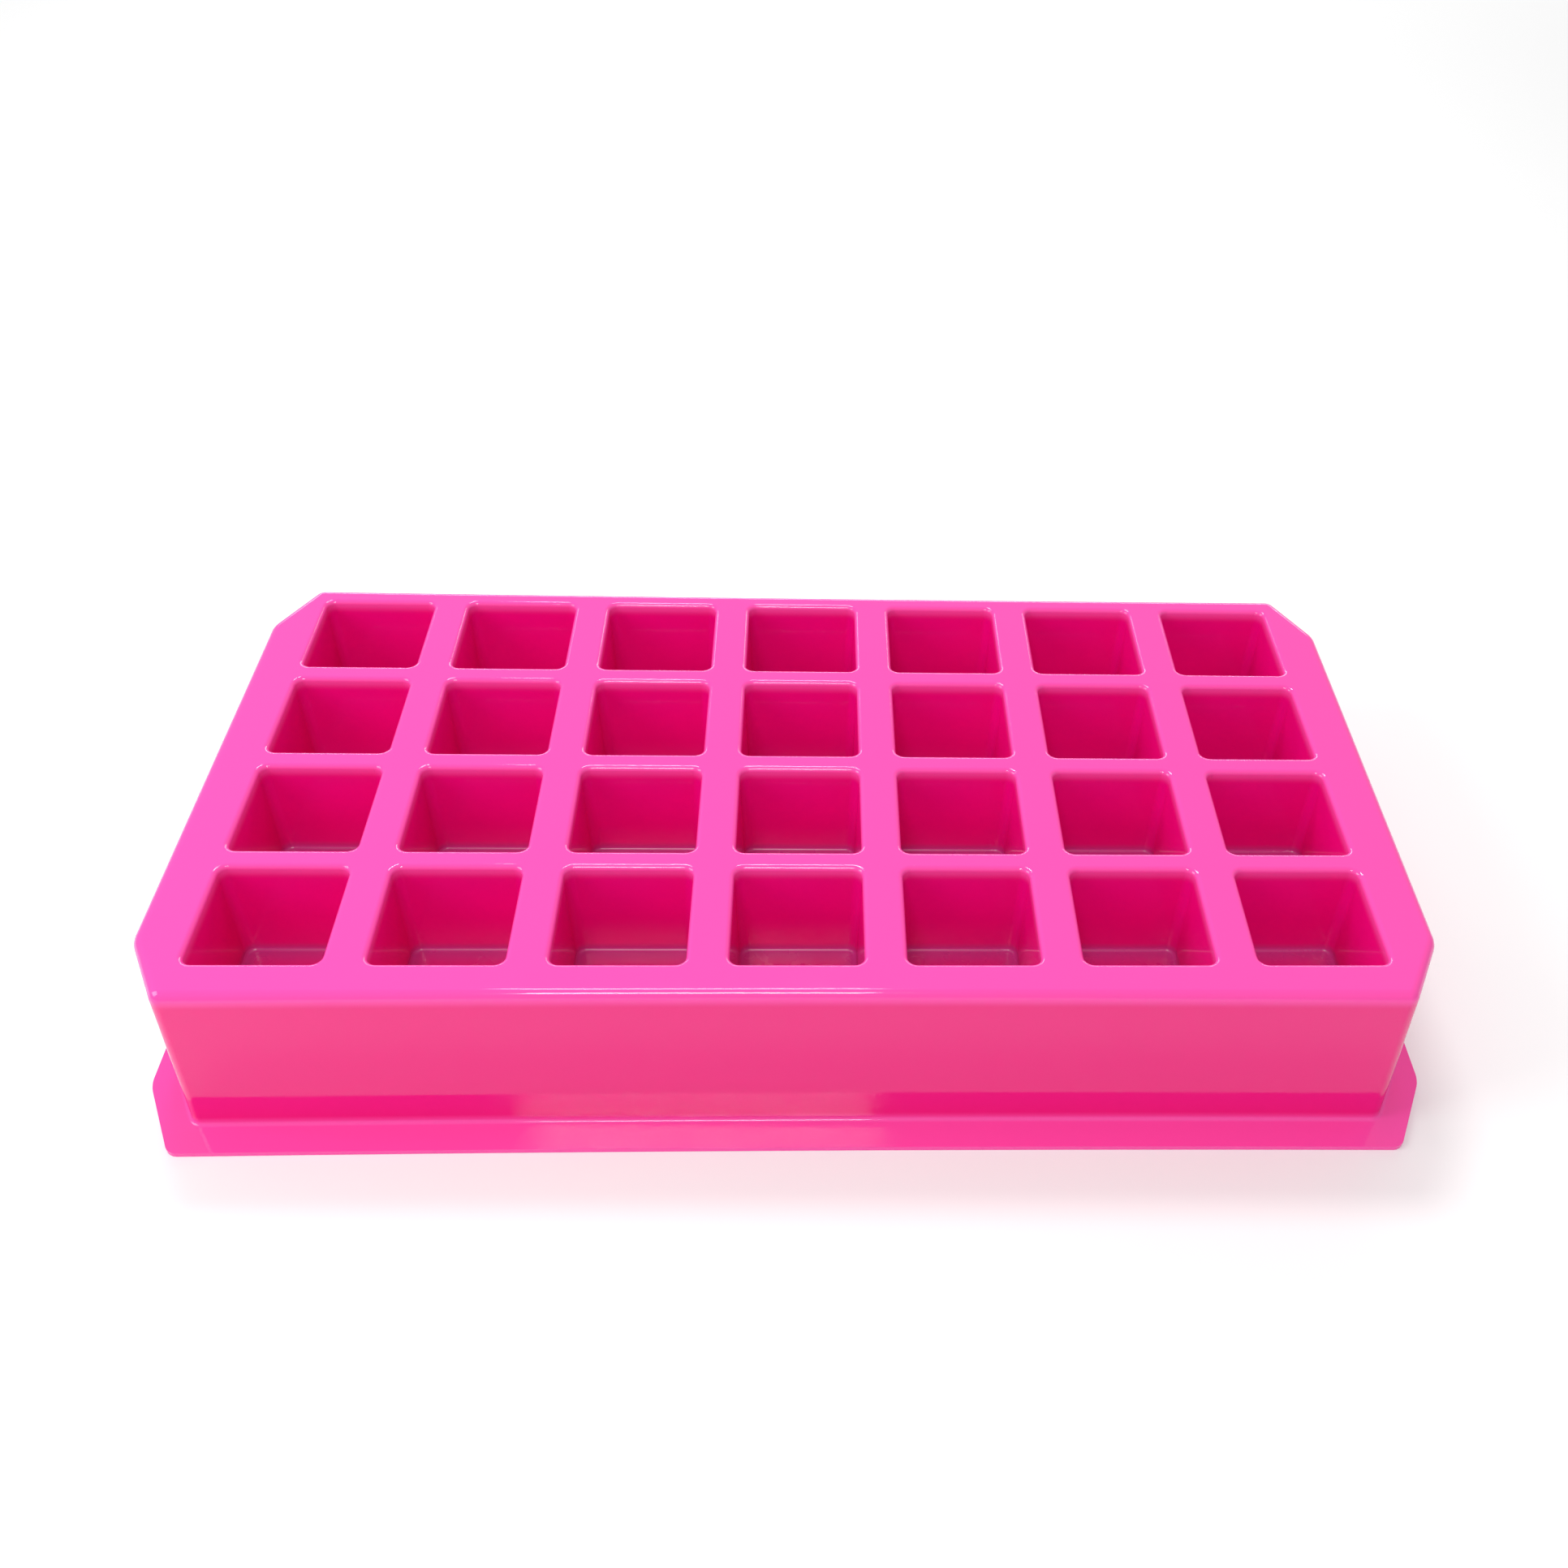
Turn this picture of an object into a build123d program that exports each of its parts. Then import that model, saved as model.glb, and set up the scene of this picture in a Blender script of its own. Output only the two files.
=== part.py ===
from build123d import *
import os

# Vacuum-formed soap mould tray: square cavities in four rows of seven hang from a flat deck, which stands on
# a deep skirt with clipped corners and a narrow foot flange.
#
# The tray is one sheet of plastic, drawn over a former. Here the sheet is divided where its shape changes: a
# cup for each cavity, the ribs and edges of the deck, the panels of the skirt and the strips of the flange.
# Every piece meets its neighbours face to face, and each region has the thickness that forming leaves it.
#
# Frame: millimetres, +Z up, +X along the rows of seven, origin at the middle of the flange's underside.

# Cavity grid
COLUMNS = 7
ROWS = 4
PITCH_X = 50.0
PITCH_Y = 45.2
GRID_SHIFT = 2.4  # the grid sits this far behind the middle of the tray

# One cavity
MOUTH = 38.0  # between the walls, carried up to the deck
DEPTH = 34.5
CAVITY_DRAFT = 1.5  # degrees
CORNER_RADIUS = 3.0  # upright corners
RIM_RADIUS = 3.4  # soft edge round the mouth
FLOOR_RADIUS = 1.6

# Whole tray
HEIGHT = 56.0
DECK_X = 370.0
DECK_Y = 194.0
DECK_CLIP = (11.5, 22.0)  # the cut corners, along X and along Y
SKIRT_DRAFT = 1.0  # degrees
EDGE_RADIUS = 3.0  # where the deck turns down into the skirt
UPRIGHT_RADIUS = 4.0  # upright bends of the skirt
FLANGE_X = 382.0
FLANGE_Y = 216.0
FLANGE_CLIP = (13.0, 26.0)
FLANGE_CORNER_RADIUS = 3.0
FOOT_RADIUS = 1.2  # where the skirt turns out into the flange

# Sheet thickness after forming: thick on the deck and flange, thin in the cavity floors
DECK_SHEET = 1.8
SKIRT_SHEET = 1.4
FLANGE_SHEET = 1.6
CUP_SHEET = 1.2
FLOOR_SHEET = 0.9

# Where the sheet is divided
DECK_BAND = 5.0  # the deck's pieces reach this far down, past their bends
FOOT_BAND = 4.0  # the flange's pieces reach this far up, past the foot bend
SPLIT_X = 166.0
SPLIT_Y = 70.0
WALL_ALLOWANCE = 0.25  # keeps a division clear of the drafted cavity wall beside it

DECK_UNDERSIDE = HEIGHT - DECK_SHEET
DECK_LOW = HEIGHT - DECK_BAND
COLUMN_PLACES = [(column - (COLUMNS - 1) / 2) * PITCH_X for column in range(COLUMNS)]
ROW_PLACES = [(row - (ROWS - 1) / 2) * PITCH_Y + GRID_SHIFT for row in range(ROWS)]
CUT_RIGHT = COLUMN_PLACES[-1] + MOUTH / 2 - WALL_ALLOWANCE
CUT_FRONT = ROW_PLACES[0] - MOUTH / 2 + WALL_ALLOWANCE
CUT_BACK = ROW_PLACES[-1] + MOUTH / 2 - WALL_ALLOWANCE
ROW_RIB = PITCH_Y - MOUTH + 2 * WALL_ALLOWANCE
REACH = FLANGE_X  # larger than the tray every way, for cutting boxes
TOLERANCE = 0.01

os.makedirs("parts", exist_ok=True)


def outline(length, width, clip, corner_radius, inset=0.0):
    """A rectangle with cut and softened corners, drawn in by inset."""
    x, y = length / 2, width / 2
    cut_x, cut_y = x - clip[0], y - clip[1]
    with BuildSketch() as shape:
        with BuildLine():
            Polyline(
                (x, cut_y), (cut_x, y), (-cut_x, y), (-x, cut_y),
                (-x, -cut_y), (-cut_x, -y), (cut_x, -y), (x, -cut_y),
                close=True,
            )
        make_face()
        if inset:
            offset(amount=-inset, kind=Kind.INTERSECTION, mode=Mode.REPLACE)
        fillet(shape.vertices(), corner_radius)
    return shape.sketch


def tray_form(top, inset):
    """The solid shape inside the skirt's surface: flat on top, and a little wider at the foot."""
    with BuildPart() as form:
        with BuildSketch(Plane.XY.offset(top)):
            add(outline(DECK_X, DECK_Y, DECK_CLIP, UPRIGHT_RADIUS - inset, inset))
        extrude(amount=-top, taper=-SKIRT_DRAFT)
        fillet(form.faces().sort_by(Axis.Z)[-1].edges(), EDGE_RADIUS - inset)
    return form.part


def cavity_fill(skin=0.0, floor_skin=0.0):
    """The space inside one cavity, grown by the thickness of its wall and floor."""
    with BuildPart() as fill:
        side = MOUTH + 2 * skin
        with BuildSketch(Plane.XY.offset(HEIGHT)):
            RectangleRounded(side, side, CORNER_RADIUS + skin)
        extrude(amount=-(DEPTH + floor_skin), taper=CAVITY_DRAFT)
        fillet(fill.faces().sort_by(Axis.Z)[0].edges(), FLOOR_RADIUS + floor_skin)
    return fill.part


def deck_land(form, cavity, rim_radius):
    """The top of a tray form, pierced by the cavities, with a soft edge round every mouth."""
    with BuildPart() as land:
        add(form)
        split(bisect_by=Plane.XY.offset(DECK_LOW), keep=Keep.TOP)
        with Locations(*[(x, y) for x in COLUMN_PLACES for y in ROW_PLACES]):
            add(cavity, mode=Mode.SUBTRACT)
        top = land.faces().sort_by(Axis.Z)[-1]
        fillet([edge for wire in top.inner_wires() for edge in wire.edges()], rim_radius)
    return land.part


def save(piece, name):
    """Labels a finished piece and writes it."""
    piece.label = name
    export_step(piece, f"parts/{name}.step")
    solids = piece.solids()
    print(f"{name}: {len(solids)} solid(s), {sum(solid.volume for solid in solids):.0f} mm3")


def cut_out(sheet, low, high):
    """The part of a sheet between two corners of a box."""
    size = [b - a for a, b in zip(low, high)]
    middle = Vector(*((a + b) / 2 for a, b in zip(low, high)))
    with BuildPart() as region:
        add(sheet)
        with Locations(middle):
            Box(*size, mode=Mode.INTERSECT)
    return region.part


def save_ring(sheet, name):
    """Divides a ring of sheet into four sides and four corners, and writes each."""
    spans = {"low": (-REACH, -1), "middle": (-1, 1), "high": (1, REACH)}
    x_words = {"low": "left", "high": "right"}
    y_words = {"low": "front", "high": "back"}
    for x_key, (x_low, x_high) in spans.items():
        for y_key, (y_low, y_high) in spans.items():
            if x_key == y_key == "middle":
                continue
            words = [words[key] for words, key in ((y_words, y_key), (x_words, x_key)) if key in words]
            low = (x_low * SPLIT_X, y_low * SPLIT_Y, 0)
            high = (x_high * SPLIT_X, y_high * SPLIT_Y, HEIGHT)
            kind = "corner_" if len(words) == 2 else ""
            save(cut_out(sheet, low, high), f"{name}_{kind}{'_'.join(words)}")


# The surfaces of the sheet: its outer face and its inner face
outer_form = tray_form(HEIGHT, 0.0)
inner_form = tray_form(DECK_UNDERSIDE, SKIRT_SHEET)
cavity_space = cavity_fill()
cavity_outside = cavity_fill(CUP_SHEET, FLOOR_SHEET)

# Deck: what is left between the two lands is the bent sheet of the ribs and edges
upper_land = deck_land(outer_form, cavity_space, RIM_RADIUS)
lower_land = deck_land(inner_form, cavity_outside, RIM_RADIUS - DECK_SHEET)
with BuildPart() as deck:
    add(upper_land)
    add(lower_land, mode=Mode.SUBTRACT)

save(cut_out(deck.part, (-REACH, -REACH, DECK_LOW), (REACH, CUT_FRONT, HEIGHT)), "deck_edge_front")
save(cut_out(deck.part, (-REACH, CUT_BACK, DECK_LOW), (REACH, REACH, HEIGHT)), "deck_edge_back")
save(cut_out(deck.part, (-REACH, CUT_FRONT, DECK_LOW), (-CUT_RIGHT, CUT_BACK, HEIGHT)), "deck_edge_left")
save(cut_out(deck.part, (CUT_RIGHT, CUT_FRONT, DECK_LOW), (REACH, CUT_BACK, HEIGHT)), "deck_edge_right")

long_rib_places = [y + PITCH_Y / 2 for y in ROW_PLACES[:-1]]
for number, y in enumerate(long_rib_places, start=1):
    low = (-CUT_RIGHT, y - ROW_RIB / 2, DECK_LOW)
    high = (CUT_RIGHT, y + ROW_RIB / 2, HEIGHT)
    save(cut_out(deck.part, low, high), f"long_rib_{number}")

for number, x in enumerate([x + PITCH_X / 2 for x in COLUMN_PLACES[:-1]], start=1):
    low = (x - PITCH_X / 4, CUT_FRONT, DECK_LOW)
    high = (x + PITCH_X / 4, CUT_BACK, HEIGHT)
    with BuildPart() as short_ribs:
        add(cut_out(deck.part, low, high))
        with Locations(*[(x, y, HEIGHT) for y in long_rib_places]):
            Box(PITCH_X, ROW_RIB, HEIGHT, mode=Mode.SUBTRACT)
    save(short_ribs.part, f"short_ribs_{number}")

# Cups: the walls and floor of each cavity, below the deck's pieces
with BuildPart() as cup:
    add(cavity_outside)
    add(cavity_space, mode=Mode.SUBTRACT)
    split(bisect_by=Plane.XY.offset(DECK_LOW), keep=Keep.BOTTOM)

for row, y in enumerate(ROW_PLACES, start=1):
    for column, x in enumerate(COLUMN_PLACES, start=1):
        save(cup.part.moved(Location((x, y, 0))), f"cavity_cup_row{row}_{column}")

# Skirt: the sides of the tray, between the deck's edges and the flange
with BuildPart() as skirt:
    add(outer_form)
    add(inner_form, mode=Mode.SUBTRACT)
    split(bisect_by=Plane.XY.offset(DECK_LOW), keep=Keep.BOTTOM)
    split(bisect_by=Plane.XY.offset(FOOT_BAND), keep=Keep.TOP)
save_ring(skirt.part, "skirt")

# Flange: the foot that the tray stands on, with the bend that joins it to the skirt
with BuildPart() as flange:
    with BuildSketch():
        add(outline(FLANGE_X, FLANGE_Y, FLANGE_CLIP, FLANGE_CORNER_RADIUS))
    extrude(amount=FLANGE_SHEET)
    add(outer_form)
    split(bisect_by=Plane.XY.offset(FOOT_BAND), keep=Keep.BOTTOM)
    at_foot = flange.edges().filter_by(lambda edge: abs(edge.center().Z - FLANGE_SHEET) < TOLERANCE)
    foot_bend = at_foot.filter_by(
        lambda edge: abs(edge.center().X) < (DECK_X + FLANGE_X) / 4
        and abs(edge.center().Y) < (DECK_Y + FLANGE_Y) / 4
    )
    fillet(foot_bend, FOOT_RADIUS)
    add(inner_form, mode=Mode.SUBTRACT)
save_ring(flange.part, "flange")
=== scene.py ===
# %% [markdown]
# # A vacuum-formed soap mould tray
# The real tray is one sheet of glossy pink plastic. It was heated until it sagged, then drawn by vacuum over a
# former. So it has no joints at all: the deck, the square cavities, the deep skirt and the foot flange are one
# skin. It is thick where it hardly stretched and thin where it stretched most.
#
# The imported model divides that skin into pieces. We load it first, because every size here comes from it.

from math import pi, radians, sin, tan

import bmesh
import bpy
from mathutils import Matrix, Vector, noise


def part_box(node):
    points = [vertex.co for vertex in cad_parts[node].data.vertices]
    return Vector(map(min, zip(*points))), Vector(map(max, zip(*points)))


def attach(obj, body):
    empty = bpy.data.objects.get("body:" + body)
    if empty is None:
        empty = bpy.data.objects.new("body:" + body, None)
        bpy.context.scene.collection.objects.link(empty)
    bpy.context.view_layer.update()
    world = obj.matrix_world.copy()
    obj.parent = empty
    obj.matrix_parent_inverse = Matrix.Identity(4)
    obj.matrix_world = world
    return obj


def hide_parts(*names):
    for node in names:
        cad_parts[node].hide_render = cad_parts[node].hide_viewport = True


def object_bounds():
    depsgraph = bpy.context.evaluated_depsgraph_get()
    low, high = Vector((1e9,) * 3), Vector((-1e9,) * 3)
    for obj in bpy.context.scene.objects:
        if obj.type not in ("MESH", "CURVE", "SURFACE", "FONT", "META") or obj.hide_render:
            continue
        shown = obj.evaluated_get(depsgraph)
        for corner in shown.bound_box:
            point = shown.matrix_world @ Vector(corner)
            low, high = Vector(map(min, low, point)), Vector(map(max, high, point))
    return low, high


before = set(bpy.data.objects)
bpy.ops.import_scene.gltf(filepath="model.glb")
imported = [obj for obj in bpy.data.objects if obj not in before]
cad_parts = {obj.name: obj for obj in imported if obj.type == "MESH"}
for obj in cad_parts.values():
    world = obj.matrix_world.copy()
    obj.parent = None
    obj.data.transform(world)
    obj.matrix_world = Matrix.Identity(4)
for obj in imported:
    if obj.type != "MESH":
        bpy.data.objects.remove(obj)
cad_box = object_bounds()
MM = 0.001
print("the packed model has", len(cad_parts), "nodes")

# %% [markdown]
# The cups tell us the grid: how many there are, how far apart they stand and how deep they go. The deck's edge
# pieces and the flange give the outline.

# %% Read the driving sizes
first_low, first_high = (Vector(corner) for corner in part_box("cavity_cup_row1_1"))
COLUMNS = sum(name.startswith("cavity_cup_row1_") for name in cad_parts)
ROWS = sum(name.startswith("cavity_cup_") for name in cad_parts) // COLUMNS
PITCH_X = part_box("cavity_cup_row1_2")[0][0] - first_low.x
PITCH_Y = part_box("cavity_cup_row2_1")[0][1] - first_low.y
last_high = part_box(f"cavity_cup_row{ROWS}_{COLUMNS}")[1]
GRID_SHIFT = (first_low.y + last_high[1]) / 2
TOP = cad_box[1][2]
FLANGE_X = cad_box[1][0]
FLANGE_Y = cad_box[1][1]
print("grid", COLUMNS, "by", ROWS, "at", round(PITCH_X / MM, 1), "by", round(PITCH_Y / MM, 1), "mm")
print("the grid sits", round(GRID_SHIFT / MM, 1), "mm behind the middle of the tray")

# %% Sizes of the sheet and its bends
DECK_SHEET = 1.8 * MM
CUP_SHEET = 1.2 * MM
FLOOR_SHEET = 0.9 * MM
FLANGE_SHEET = 1.6 * MM
MOUTH = 38.0 * MM
DEPTH = TOP - first_low.z - FLOOR_SHEET
CAVITY_DRAFT = radians(1.5)
CORNER_RADIUS = 3.0 * MM
RIM_RADIUS = 3.4 * MM
FLOOR_RADIUS = 1.3 * MM
SKIRT_DRAFT = radians(1.0)
SKIRT_HALF_X = FLANGE_X - 6.0 * MM
SKIRT_HALF_Y = FLANGE_Y - 11.0 * MM
CLIP_X = 11.5 * MM
CLIP_Y = 22.0 * MM
EDGE_RADIUS = 3.0 * MM
UPRIGHT_BEND = 2.2 * MM
FOOT_RADIUS = 1.2 * MM
print("cavities are", round(DEPTH / MM, 1), "mm deep")

# %% [markdown]
# ## The camera
# The tray is seen from the front and above, as someone standing at the bench sees it. The lens is a little wide,
# so the near edge looks longer than the far one. A small sideways shift puts the tray where we want it in the
# picture without turning the camera.

# %% Place the camera
camera_data = bpy.data.cameras.new("bench_view")
camera_data.lens = 36.02
camera_data.sensor_width = 36.0
camera_data.shift_x = -0.0665
camera_data.shift_y = 0.001
camera_data.clip_start = 0.01
camera = bpy.data.objects.new("bench_view", camera_data)
bpy.context.scene.collection.objects.link(camera)
look = Matrix.Rotation(radians(-3.79), 4, "Z") @ Matrix.Rotation(radians(90 - 41.12), 4, "X")
camera.matrix_world = (
    Matrix.Translation((3.3 * MM, GRID_SHIFT - 384.1 * MM, TOP + 326.1 * MM)) @ look @ Matrix.Rotation(radians(2.84), 4, "Z")
)
bpy.context.scene.camera = camera
print("camera at", [round(value, 3) for value in camera.location])

# %% [markdown]
# ## One cavity
# Twenty-eight cavities are alike, so we make one and repeat it. A cell is the patch of deck round one cavity,
# out to the middles of the ribs. We start from a single square, inset it to draw the mouth, and push the inner
# face down to make the pocket. The bends are bevels. They come in the order in which a toolmaker would cut
# them: upright corners first, then the rim, then the floor, so that each runs smoothly round the last.

# %% Helpers for choosing edges
def level_edges(bm, height):
    """Edges that lie at one height."""
    return [edge for edge in bm.edges if all(abs(vert.co.z - height) < 1e-6 for vert in edge.verts)]


def bends(edges, angle=radians(12)):
    """Edges where two faces meet at more than an angle."""
    return [edge for edge in edges if len(edge.link_faces) == 2 and edge.calc_face_angle() > angle]


def round_edges(bm, edges, offset, segments):
    """Bevels edges to a circular section."""
    bmesh.ops.bevel(
        bm, geom=edges, offset=offset, offset_type="OFFSET", segments=segments, profile=0.5,
        affect="EDGES", material=-1, clamp_overlap=True,
    )


def slice_across(bm, axis, places):
    """Cuts every face that crosses the planes at these places along an axis."""
    normal = Vector((0, 0, 0))
    normal[axis] = 1
    for place in places:
        bmesh.ops.bisect_plane(
            bm, geom=bm.verts[:] + bm.edges[:] + bm.faces[:], dist=1e-7,
            plane_co=normal * place, plane_no=normal,
        )


# %% Make the cell
CELL_CUTS = [place * MM for place in (-13, 0, 13)]

cell = bmesh.new()
bmesh.ops.create_grid(cell, x_segments=1, y_segments=1, size=0.5)
bmesh.ops.scale(cell, vec=(PITCH_X, PITCH_Y, 1), verts=cell.verts)
mouth = cell.faces[:]
bmesh.ops.inset_region(cell, faces=mouth, thickness=1 * MM, use_boundary=True, use_even_offset=True)
mouth_shape = (MOUTH / (PITCH_X - 2 * MM), MOUTH / (PITCH_Y - 2 * MM), 1)
bmesh.ops.scale(cell, vec=mouth_shape, verts=mouth[0].verts)
pocket = bmesh.ops.extrude_discrete_faces(cell, faces=mouth)["faces"][0]
bmesh.ops.translate(cell, vec=(0, 0, -DEPTH), verts=pocket.verts)
floor_share = 1 - 2 * DEPTH * tan(CAVITY_DRAFT) / MOUTH
bmesh.ops.scale(cell, vec=(floor_share, floor_share, 1), verts=pocket.verts)

uprights = [edge for edge in cell.edges if abs(edge.verts[0].co.z - edge.verts[1].co.z) > DEPTH / 2]
round_edges(cell, uprights, CORNER_RADIUS, 6)
round_edges(cell, bends(level_edges(cell, 0)), RIM_RADIUS, 8)
round_edges(cell, bends(level_edges(cell, -DEPTH)), FLOOR_RADIUS, 5)
slice_across(cell, 0, CELL_CUTS)
slice_across(cell, 1, CELL_CUTS)
slice_across(cell, 2, [-DEPTH * share for share in (0.24, 0.42, 0.6, 0.78)])
bmesh.ops.translate(cell, vec=(0, 0, TOP), verts=cell.verts)
cell_mesh = bpy.data.meshes.new("cell")
cell.to_mesh(cell_mesh)
print("one cell has", len(cell.faces), "faces")
cell.free()

# %% [markdown]
# ## The whole sheet
# The cells are set out side by side and their touching edges are merged, which leaves one sheet with a plain
# rectangular border. From there we only ever extrude that border: outwards for the deck's margin, down for the
# skirt, and outwards again for the flange.

# %% Set out the cells
sheet = bmesh.new()
for row in range(ROWS):
    for column in range(COLUMNS):
        count = len(sheet.verts)
        sheet.from_mesh(cell_mesh)
        sheet.verts.ensure_lookup_table()
        place = (
            (column - (COLUMNS - 1) / 2) * PITCH_X,
            (row - (ROWS - 1) / 2) * PITCH_Y + GRID_SHIFT,
            0,
        )
        bmesh.ops.translate(sheet, vec=place, verts=sheet.verts[count:])
bmesh.ops.remove_doubles(sheet, verts=sheet.verts, dist=0.01 * MM)
bpy.data.meshes.remove(cell_mesh)
print("the set-out sheet has", len(sheet.faces), "faces")

# %% [markdown]
# The clipped corners of the deck pass close to the corner cavities. The grid's own four corner points are drawn
# in first, so that there is room for the deck's rounded edge to run past them.

# %% Add the deck's margin and clip its corners
def border(bm):
    """The open edges of the sheet."""
    return [edge for edge in bm.edges if edge.is_boundary]


def extrude_border(bm):
    """Extrudes the sheet's open edges and returns the new points."""
    new = bmesh.ops.extrude_edge_only(bm, edges=border(bm))["geom"]
    return [item for item in new if isinstance(item, bmesh.types.BMVert)]


grid_x, grid_y = COLUMNS * PITCH_X / 2, ROWS * PITCH_Y / 2
CORNER_ZONE = 3 * MM


def past_grid(co, margin):
    """Whether a point is at the grid's side border, and whether it is at its front or back border."""
    return abs(co.x) > grid_x - margin, abs(co.y - GRID_SHIFT) > grid_y - margin


for vert in sheet.verts:
    if all(past_grid(vert.co, 0.01 * MM)):
        vert.co.x *= 1 - 2.2 * MM / grid_x
        vert.co.y = GRID_SHIFT + (vert.co.y - GRID_SHIFT) * (1 - 1.9 * MM / grid_y)

for vert in extrude_border(sheet):
    near_x, near_y = past_grid(vert.co, CORNER_ZONE)
    if near_x:
        vert.co.x = SKIRT_HALF_X if vert.co.x > 0 else -SKIRT_HALF_X
    if near_y:
        vert.co.y = SKIRT_HALF_Y if vert.co.y > 0 else -SKIRT_HALF_Y

for x_sign in (-1, 1):
    for y_sign in (-1, 1):
        bmesh.ops.bisect_plane(
            sheet, geom=sheet.verts[:] + sheet.edges[:] + sheet.faces[:], dist=1e-7,
            plane_co=(x_sign * (SKIRT_HALF_X - CLIP_X), y_sign * SKIRT_HALF_Y, TOP),
            plane_no=(x_sign * CLIP_Y, y_sign * CLIP_X, 0), clear_outer=True,
        )
print("the deck's border has", len(border(sheet)), "edges")

# %% Draw down the skirt and turn out the flange
drop = TOP - FLANGE_SHEET
skirt_foot = extrude_border(sheet)
bmesh.ops.translate(sheet, vec=(0, 0, -drop), verts=skirt_foot)
spread = drop * tan(SKIRT_DRAFT)
foot_scale = (1 + spread / SKIRT_HALF_X, 1 + spread / SKIRT_HALF_Y, 1)
bmesh.ops.scale(sheet, vec=foot_scale, verts=skirt_foot)

uprights = [edge for edge in sheet.edges if abs(edge.verts[0].co.z - edge.verts[1].co.z) > drop / 2]
round_edges(sheet, bends(uprights), UPRIGHT_BEND, 4)

flange_rim = extrude_border(sheet)
flange_scale = (FLANGE_X / (SKIRT_HALF_X + spread), FLANGE_Y / (SKIRT_HALF_Y + spread), 1)
bmesh.ops.scale(sheet, vec=flange_scale, verts=flange_rim)

deck_edge = [
    edge for edge in bends(level_edges(sheet, TOP))
    if any(abs(face.normal.z) < 0.3 and face.calc_area() > 50 * MM * MM for face in edge.link_faces)
]
round_edges(sheet, deck_edge, EDGE_RADIUS, 6)
round_edges(sheet, bends(level_edges(sheet, FLANGE_SHEET)), FOOT_RADIUS, 4)
print("the formed sheet has", len(sheet.faces), "faces")

# %% [markdown]
# Long plain faces get a few more cuts. They stay flat for now, and the next step needs the points to bend them.

# %% Cut the skirt and the flange for bending
for share in (0.12, 0.25, 0.4, 0.55, 0.7, 0.85):
    outer = [
        face for face in sheet.faces
        if max(abs(vert.co.x) / SKIRT_HALF_X for vert in face.verts) > 0.985
        or max(abs(vert.co.y) / SKIRT_HALF_Y for vert in face.verts) > 0.985
    ]
    edges = {edge for face in outer for edge in face.edges}
    verts = {vert for face in outer for vert in face.verts}
    bmesh.ops.bisect_plane(
        sheet, geom=outer + list(edges) + list(verts), dist=1e-7,
        plane_co=(0, 0, TOP * share), plane_no=(0, 0, 1),
    )
print("after cutting it has", len(sheet.faces), "faces")

# %% [markdown]
# ## The marks of forming
# A formed sheet is never quite true. The long sides draw in a little at their middles as the plastic cools, the
# cavity walls and floors bow by a few tenths of a millimetre, and the skin ripples slightly. Small moves like
# these are what break up the reflections on a glossy part.

# %% Bend the sheet slightly
BOW = 1.0 * MM
RIPPLE = 0.04 * MM


def settle(vert):
    """Moves one point of the sheet by the small amount that cooling moves it."""
    x, y, z = vert.co
    outer_share = (abs(y) - abs(GRID_SHIFT) - grid_y) / (SKIRT_HALF_Y - abs(GRID_SHIFT) - grid_y)
    edge_share = max(0.0, min(1.0, outer_share))
    middle_share = 1 - (x / SKIRT_HALF_X) ** 2
    inward = -BOW * edge_share * max(0.0, middle_share) * (1 if y > 0 else -1)
    wave = noise.noise_vector(Vector((x, y, z)) * 14.0) * RIPPLE
    vert.co = Vector((x, y + inward, z)) + wave


for vert in sheet.verts:
    settle(vert)
lowest = min(vert.co.z for vert in sheet.verts)
bmesh.ops.translate(sheet, vec=(0, 0, max(0.0, FLANGE_SHEET - lowest)), verts=sheet.verts)
print("lowest point of the sheet's top skin is at", round(lowest / MM, 2), "mm")

# %% [markdown]
# ## Thickness
# Vacuum forming thins the sheet as it stretches. A vertex group holds each point's share of the full gauge, and
# the Solidify modifier reads it.

# %% Turn the sheet into a piece with thickness
tray_mesh = bpy.data.meshes.new("formed_sheet")
sheet.to_mesh(tray_mesh)
sheet.free()
tray = bpy.data.objects.new("formed_sheet", tray_mesh)
bpy.context.scene.collection.objects.link(tray)


def gauge(point):
    """The share of the full thickness that forming leaves at a point."""
    inside_grid = not any(past_grid(point, 0))
    if not inside_grid:
        return FLANGE_SHEET / DECK_SHEET if point.z < 3 * MM else 0.9
    depth_share = (TOP - point.z) / DEPTH
    if depth_share > 0.97:
        return FLOOR_SHEET / DECK_SHEET
    return 1 - (1 - CUP_SHEET / DECK_SHEET) * min(1.0, depth_share * 5)


gauge_group = tray.vertex_groups.new(name="gauge")
for vert in tray_mesh.vertices:
    gauge_group.add([vert.index], gauge(vert.co), "REPLACE")
tray_mesh.shade_smooth()

thickness = tray.modifiers.new("thickness", "SOLIDIFY")
thickness.thickness = DECK_SHEET
thickness.offset = -1
thickness.use_even_offset = False
thickness.vertex_group = "gauge"
trimmed_edge = tray.modifiers.new("trimmed_edge", "BEVEL")
trimmed_edge.width = 0.3 * MM
trimmed_edge.segments = 2
trimmed_edge.limit_method = "ANGLE"
trimmed_edge.angle_limit = radians(60)
even_normals = tray.modifiers.new("even_normals", "WEIGHTED_NORMAL")
even_normals.weight = 50
print("formed sheet:", len(tray_mesh.polygons), "faces before it has thickness")
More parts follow.
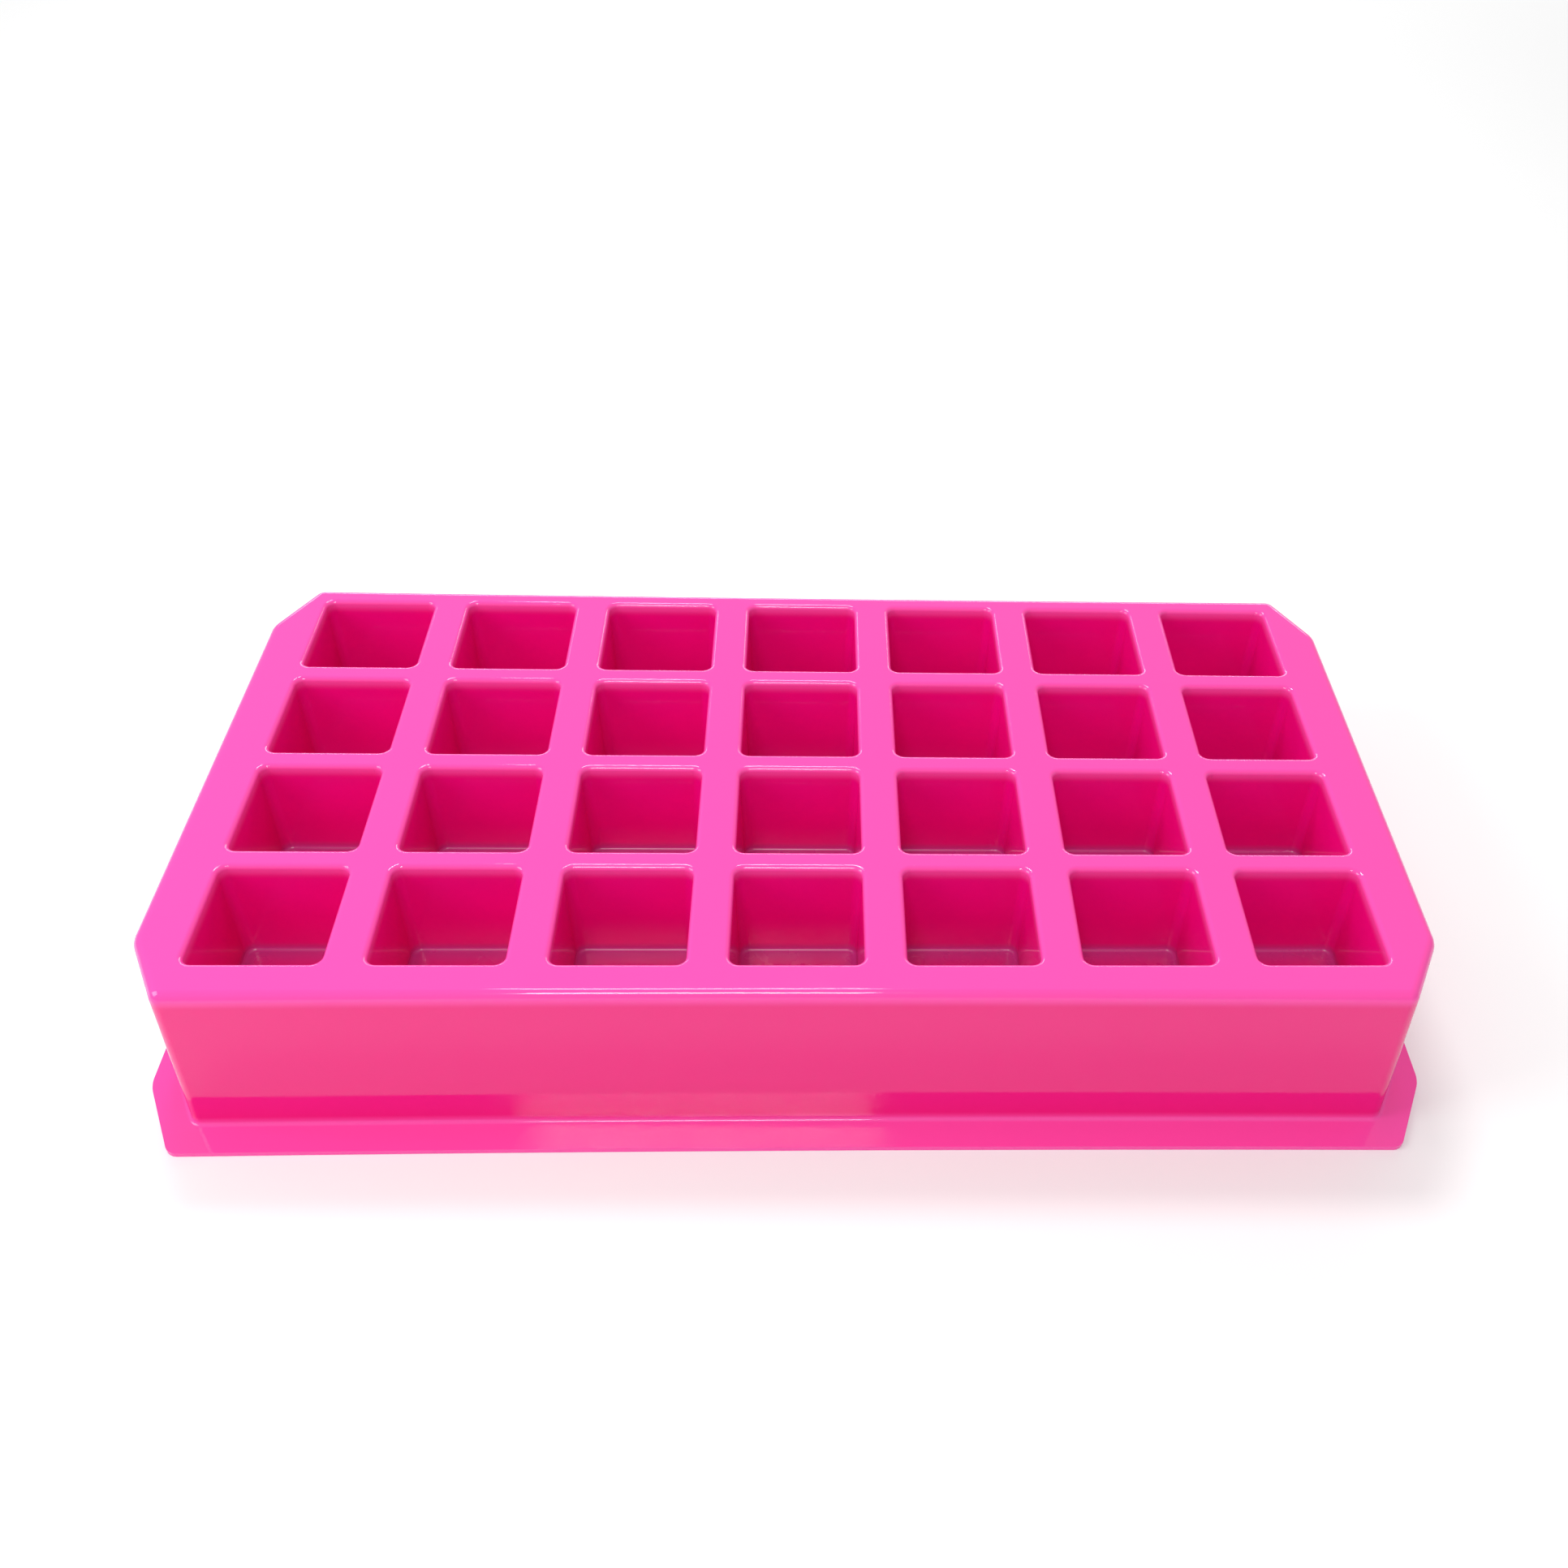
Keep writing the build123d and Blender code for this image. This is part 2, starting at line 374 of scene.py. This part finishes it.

# %% [markdown]
# ## The pink plastic
# The plastic is tinted right through and polished. Three things make it look real: a deep pink in the cavities,
# which is painted shade that stands in for the redder light bouncing between walls, a clear gloss, and thinner,
# greyer patches round the floor of each cavity, where the sheet stretched furthest and the table shows through.

# %% Node helpers
def node(tree, kind, place, **values):
    """Adds a node, and sets its properties and input values by name."""
    made = tree.nodes.new(kind)
    made.location = place
    for name, value in values.items():
        if name in made.inputs:
            made.inputs[name].default_value = value
        else:
            setattr(made, name, value)
    return made


def math_node(tree, operation, place, first, second=None):
    """Adds a Math node. Each input is a socket or a number."""
    made = node(tree, "ShaderNodeMath", place, operation=operation)
    for index, value in enumerate((first, second)):
        if isinstance(value, bpy.types.NodeSocket):
            tree.links.new(value, made.inputs[index])
        elif value is not None:
            made.inputs[index].default_value = value
    return made.outputs[0]


def ramp(tree, place, value, start, end, low=0.0, high=1.0):
    """Maps a value smoothly from one range to another."""
    made = node(tree, "ShaderNodeMapRange", place, interpolation_type="SMOOTHSTEP")
    tree.links.new(value, made.inputs["Value"])
    made.inputs["From Min"].default_value = start
    made.inputs["From Max"].default_value = end
    made.inputs["To Min"].default_value = low
    made.inputs["To Max"].default_value = high
    return made.outputs["Result"]


def blend_colour(tree, place, factor, first, second):
    """Mixes two colours, each a socket or a value, by a factor."""
    made = node(tree, "ShaderNodeMix", place, data_type="RGBA")
    tree.links.new(factor, made.inputs["Factor"])
    for name, value in (("A", first), ("B", second)):
        socket = next(item for item in made.inputs if item.name == name and item.type == "RGBA")
        if isinstance(value, bpy.types.NodeSocket):
            tree.links.new(value, socket)
        else:
            socket.default_value = (*value, 1)
    return next(item for item in made.outputs if item.type == "RGBA")


# %% Stretch mask: where in a cavity a point is
# Cavity pink: the plastic's own pink, made darker and redder as painted shade for the light that bounces between
# the cavity walls.
SHADED_CAVITY_PINK = (0.83, 0.001, 0.225)
# Skirt pink: the same plastic as a darker, shaded copy for the skirt's walls, which is painted shade.
SHADED_SKIRT_PINK = (0.80, 0.008, 0.20)
SMOKE = (0.50, 0.045, 0.27)
# Deck and flange pink: lighter and whiter, partly the plastic's own colour and partly painted sheen and painted
# light on the faces that look up.
LIT_SHEEN_PINK = (0.92, 0.066, 0.38)

pink = bpy.data.materials.new("pink_sheet")
pink.use_nodes = True
tree = pink.node_tree
tree.nodes.clear()
shader = node(tree, "ShaderNodeBsdfPrincipled", (900, 0))
output = node(tree, "ShaderNodeOutputMaterial", (1200, 0))
tree.links.new(shader.outputs[0], output.inputs[0])

coordinates = node(tree, "ShaderNodeTexCoord", (-1600, 0))
split = node(tree, "ShaderNodeSeparateXYZ", (-1400, 0))
tree.links.new(coordinates.outputs["Object"], split.inputs[0])


def distance_from_middle(axis_output, pitch, count, shift, place):
    """How far a point is from the middle of its own cavity, along one axis."""
    x, y = place
    shifted = math_node(tree, "ADD", (x, y), axis_output, count * pitch / 2 + 10 * pitch - shift)
    wrapped = math_node(tree, "MODULO", (x + 180, y), shifted, pitch)
    centred = math_node(tree, "SUBTRACT", (x + 360, y), wrapped, pitch / 2)
    return math_node(tree, "ABSOLUTE", (x + 540, y), centred)


across = distance_from_middle(split.outputs["X"], PITCH_X, COLUMNS, 0, (-1200, 200))
along = distance_from_middle(split.outputs["Y"], PITCH_Y, ROWS, GRID_SHIFT, (-1200, 0))
floor_half = MOUTH / 2 * floor_share
farthest = math_node(tree, "MAXIMUM", (-460, 100), across, along)
nearest = math_node(tree, "MINIMUM", (-460, -60), across, along)
floor_level = ramp(tree, (-460, -240), split.outputs["Z"], TOP - DEPTH + 3.5 * MM, TOP - DEPTH + 0.3 * MM)
edge_band = ramp(tree, (-260, 100), farthest, floor_half - 9 * MM, floor_half - 0.5 * MM)
corner_band = ramp(tree, (-260, -60), nearest, floor_half - 9 * MM, floor_half - 1.5 * MM)
inside = ramp(tree, (-260, -240), farthest, MOUTH / 2 + 0.6 * MM, MOUTH / 2 - 0.4 * MM)
span_x = math_node(tree, "ABSOLUTE", (-1200, -300), split.outputs["X"])
from_grid_middle = math_node(tree, "SUBTRACT", (-1380, -460), split.outputs["Y"], GRID_SHIFT)
span_y = math_node(tree, "ABSOLUTE", (-1200, -460), from_grid_middle)
in_grid_x = math_node(tree, "LESS_THAN", (-1000, -300), span_x, grid_x - 3 * MM)
in_grid_y = math_node(tree, "LESS_THAN", (-1000, -460), span_y, grid_y - 2 * MM)
in_grid = math_node(tree, "MULTIPLY", (-820, -380), in_grid_x, in_grid_y)
in_cavity = math_node(tree, "MULTIPLY", (-60, -240), inside, in_grid)
edge_or_corner = math_node(tree, "MAXIMUM", (-60, 60), edge_band, corner_band)
base_smoke = math_node(tree, "MULTIPLY_ADD", (80, 60), edge_or_corner, 0.55)
base_smoke.node.inputs[2].default_value = 0.25
thin_floor = math_node(tree, "MULTIPLY", (240, 60), base_smoke, floor_level)
thin_mask = math_node(tree, "MULTIPLY", (400, 60), thin_floor, in_cavity)

# %% Cloudiness, painted shade and sheen, gloss and fine ripple
cloud = node(tree, "ShaderNodeTexNoise", (-460, 420), Scale=22.0, Detail=3.0)
tree.links.new(coordinates.outputs["Object"], cloud.inputs["Vector"])
cloud_mask = ramp(tree, (-260, 420), cloud.outputs["Fac"], 0.35, 0.7)
# Painted shade: inside each cavity, below the rim, the colour turns to the darker, redder cavity pink, with
# random cloudiness over it.
cloudy_shaded_pink = blend_colour(tree, (60, 420), cloud_mask, SHADED_CAVITY_PINK, tuple(0.94 * value for value in SHADED_CAVITY_PINK))
below_rim = ramp(tree, (-260, 760), split.outputs["Z"], TOP - 1.5 * MM, TOP - 5.5 * MM)
painted_cavity_shade_mask = math_node(tree, "MULTIPLY", (-60, 760), below_rim, in_cavity)
# Painted light and sheen: the deck and flange keep the lighter, whiter pink, and the skirt's walls between them
# get the darker, shaded copy.
off_deck = ramp(tree, (-260, 1000), split.outputs["Z"], TOP - 1.5 * MM, TOP - 5.5 * MM)
off_flange = ramp(tree, (-260, 1240), split.outputs["Z"], 2 * MM, 5 * MM)
shaded_skirt_mask = math_node(tree, "MULTIPLY", (-60, 1000), off_deck, off_flange)
lit_and_shaded_outer_pink = blend_colour(tree, (140, 900), shaded_skirt_mask, LIT_SHEEN_PINK, SHADED_SKIRT_PINK)
# Painted shade in the cavities and painted sheen and light outside them, mixed into one colour.
painted_light_pink = blend_colour(tree, (340, 420), painted_cavity_shade_mask, lit_and_shaded_outer_pink, cloudy_shaded_pink)
sheet_colour = blend_colour(tree, (560, 200), thin_mask, painted_light_pink, SMOKE)
tree.links.new(sheet_colour, shader.inputs["Base Color"])

polish = node(tree, "ShaderNodeTexNoise", (-460, -480), Scale=60.0, Detail=4.0)
tree.links.new(coordinates.outputs["Object"], polish.inputs["Vector"])
polished = ramp(tree, (-260, -480), polish.outputs["Fac"], 0.3, 0.75, 0.04, 0.09)
floor_haze = math_node(tree, "MULTIPLY", (80, -360), floor_level, in_cavity)
milky = math_node(tree, "MULTIPLY_ADD", (240, -360), floor_haze, 0.22)
tree.links.new(polished, milky.node.inputs[2])
tree.links.new(milky, shader.inputs["Roughness"])
orange_peel = node(tree, "ShaderNodeTexNoise", (-460, -760), Scale=420.0, Detail=2.0)
tree.links.new(coordinates.outputs["Object"], orange_peel.inputs["Vector"])
bump = node(tree, "ShaderNodeBump", (500, -600), Strength=0.05, Distance=0.1 * MM)
tree.links.new(orange_peel.outputs["Fac"], bump.inputs["Height"])
tree.links.new(bump.outputs["Normal"], shader.inputs["Normal"])
shader.inputs["IOR"].default_value = 1.5
tray_mesh.materials.append(pink)
print("pink plastic has", len(tree.nodes), "nodes")

# %% [markdown]
# ## Hand the piece to the frame
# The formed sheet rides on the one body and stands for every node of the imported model.

# %% Ride and replace
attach(tray, "root")
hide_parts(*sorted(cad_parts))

# %% [markdown]
# ## A plain studio
# The tray stands on a white table in even, soft light. Two long lamps hang overhead. Their reflections are the
# pairs of thin white lines on the back rims of the cavities.

# %% Table
table = bmesh.new()
bmesh.ops.create_grid(table, x_segments=1, y_segments=1, size=4.0)
table_mesh = bpy.data.meshes.new("table")
table.to_mesh(table_mesh)
table.free()
table_object = bpy.data.objects.new("table", table_mesh)
bpy.context.scene.collection.objects.link(table_object)
white = bpy.data.materials.new("white_table")
white.use_nodes = True
table_shader = white.node_tree.nodes["Principled BSDF"]
table_shader.inputs["Base Color"].default_value = (0.88, 0.88, 0.88, 1)
table_shader.inputs["Roughness"].default_value = 0.7
table_mesh.materials.append(white)

# %% Lamps
world = bpy.data.worlds.new("soft_room")
bpy.context.scene.world = world
world.use_nodes = True
world.node_tree.nodes["Background"].inputs["Color"].default_value = (1, 1, 1, 1)
world.node_tree.nodes["Background"].inputs["Strength"].default_value = 0.53


def lamp(name, place, target, size, power):
    """Adds a rectangular lamp that faces a target."""
    data = bpy.data.lights.new(name, "AREA")
    data.shape = "RECTANGLE"
    data.size, data.size_y = size
    data.energy = power
    made = bpy.data.objects.new(name, data)
    bpy.context.scene.collection.objects.link(made)
    made.location = place
    made.rotation_euler = (Vector(target) - Vector(place)).to_track_quat("-Z", "Y").to_euler()
    return made


lamp("tube_front", (-0.12, -0.98, TOP + 1.1), (0, 0, TOP), (0.40, 0.26), 7.0)
lamp("tube_back", (-0.12, 0.55, TOP + 1.1), (0, 0, TOP), (0.40, 0.22), 5.5)
lamp("soft_left", (-0.80, -0.20, 0.60), (0, 0, 0.03), (0.5, 0.5), 4.0)
lamp("table_wash", (0.0, 3.2, 1.3), (0, 2.6, 0), (3.6, 0.9), 60.0)
bpy.context.scene.view_settings.view_transform = "Standard"
